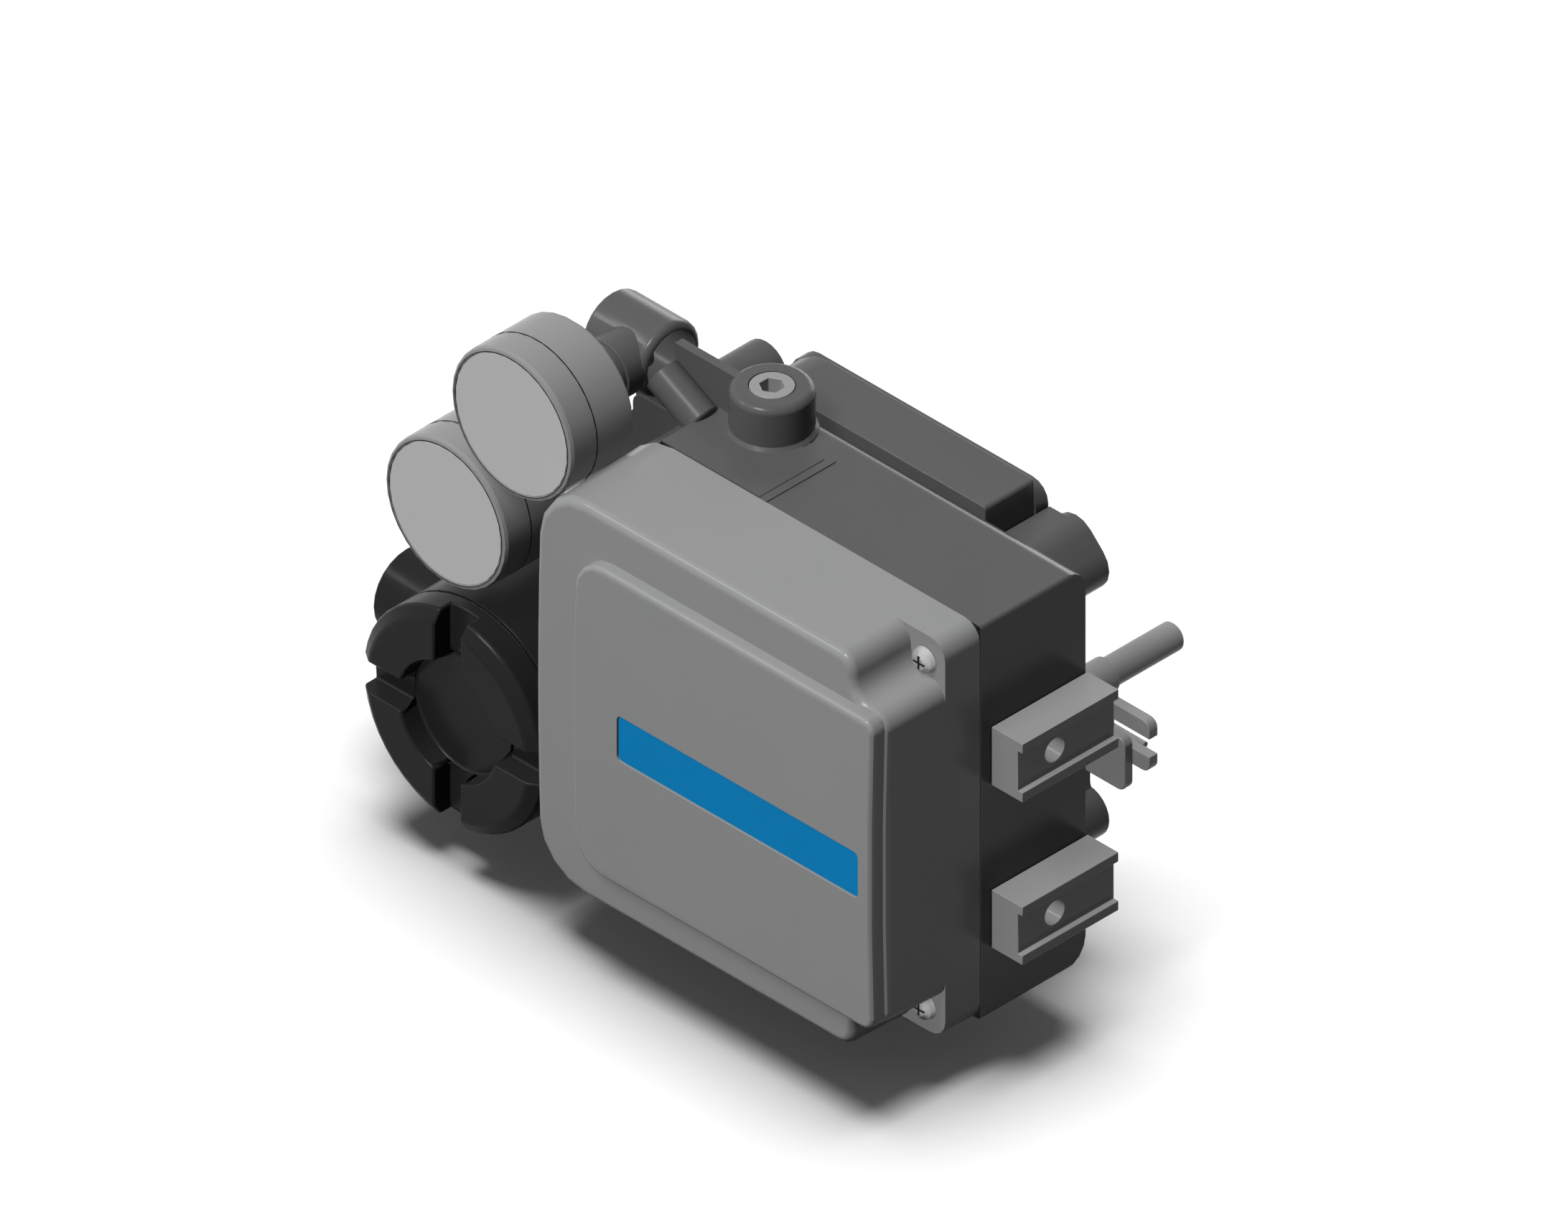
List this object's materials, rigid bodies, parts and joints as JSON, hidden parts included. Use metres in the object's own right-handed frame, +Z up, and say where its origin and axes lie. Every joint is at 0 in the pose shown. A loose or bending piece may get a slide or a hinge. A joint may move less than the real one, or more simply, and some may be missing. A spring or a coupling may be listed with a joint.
{
  "type": "valve positioner",
  "caption": "Electro-pneumatic valve positioner: cast housing, raised-panel cover, round pressure gauges, screw-capped terminal box, and a feedback shaft with fork lever.",
  "frame": {"origin": "on the feedback shaft's axis, in the plane of the rear mounting bosses", "axes": "+Y along the feedback shaft towards the actuator, +Z up, +X to the side with the mounting blocks"},
  "size_m": [0.215, 0.1269, 0.1493],
  "materials": {
    "dark_paint": "satin dark grey paint",
    "light_paint": "satin light grey paint",
    "box_paint": "satin near-black paint",
    "blue_film": "plain blue film",
    "black_rubber": "matte black rubber",
    "zinc": "zinc-plated",
    "steel": "plain stainless steel",
    "gauge_grey": "satin grey",
    "lens_glass": "satin window",
    "dial_white": "plain pale grey",
    "black_plastic": "matte black",
    "white_plastic": "off-white",
    "brass": "plain brass",
    "copper": "enamelled copper winding",
    "board_green": "green board"
  },
  "bodies": {
    "housing": {"casting": "dark_paint", "circuit_board": "board_green", "cover_gasket": "black_rubber", "cover_label": "blue_film", "cover_screw_lower": "zinc", "cover_screw_upper": "zinc", "flapper": "steel", "front_cover": "light_paint", "lower_gauge_bezel": "gauge_grey", "lower_gauge_case": "gauge_grey", "lower_gauge_dial": "dial_white", "lower_gauge_lens": "lens_glass", "lower_gauge_movement": "brass", "motor_coil": "copper", "motor_yoke": "zinc", "nozzle": "brass", "port_plug": "steel", "position_sensor": "black_plastic", "rear_housing": "dark_paint", "rear_plate": "dark_paint", "shaft_bush": "brass", "side_block_lower": "light_paint", "side_block_upper": "light_paint", "terminal_block": "black_plastic", "terminal_box": "box_paint", "terminal_screw_1": "zinc", "terminal_screw_2": "zinc", "terminal_screw_3": "zinc", "terminal_screw_4": "zinc", "upper_gauge_bezel": "gauge_grey", "upper_gauge_case": "gauge_grey", "upper_gauge_dial": "dial_white", "upper_gauge_lens": "lens_glass", "upper_gauge_movement": "brass"},
    "feedback_lever": {"feedback_shaft": "steel", "shaft_collar": "steel", "fork_plate": "steel", "stop_plate": "steel", "slot_spring": "steel", "sector_gear": "brass"},
    "sensor_shaft": {"sensor_pinion": "white_plastic"},
    "upper_pointer": {"upper_gauge_pointer": "black_plastic"},
    "lower_pointer": {"lower_gauge_pointer": "black_plastic"},
    "cap_seal": {"cap_seal": "black_rubber"},
    "terminal_cap": {"terminal_cap": "box_paint"}
  },
  "joints": [
    {"name": "feedback_turn", "type": "hinge", "parent": "housing", "child": "feedback_lever", "pos_m": [0, 0, 0], "axis": [0, 1, 0], "range_deg": [-50, 50]},
    {"name": "sensor_turn", "type": "hinge", "parent": "housing", "child": "sensor_shaft", "pos_m": [-0.0312, -0.049, 0], "axis": [0, 1, 0], "range_deg": [-170, 170]},
    {"name": "upper_pointer_turn", "type": "hinge", "parent": "housing", "child": "upper_pointer", "pos_m": [-0.1138, -0.0776, 0.0643], "axis": [0, 1, 0], "range_deg": [0, 270], "stiffness_Nm_per_rad": 0.0005},
    {"name": "lower_pointer_turn", "type": "hinge", "parent": "housing", "child": "lower_pointer", "pos_m": [-0.1367, -0.0776, 0.0262], "axis": [0, 1, 0], "range_deg": [0, 270], "stiffness_Nm_per_rad": 0.0005},
    {"name": "cap_travel", "type": "slide", "parent": "housing", "child": "cap_seal", "axis": [0, -1, 0], "range_m": [0, 0.0106]},
    {"name": "cap_turn", "type": "hinge", "parent": "cap_seal", "child": "terminal_cap", "pos_m": [-0.1326, -0.0804, -0.0329], "axis": [0, -1, 0], "range_deg": [0, 2520]}
  ],
  "couplings": [
    {"joint": "sensor_turn", "follows": "feedback_turn", "ratio": -3.3333},
    {"joint": "cap_travel", "follows": "cap_turn", "m_per_rad": 0.00023873}
  ]
}
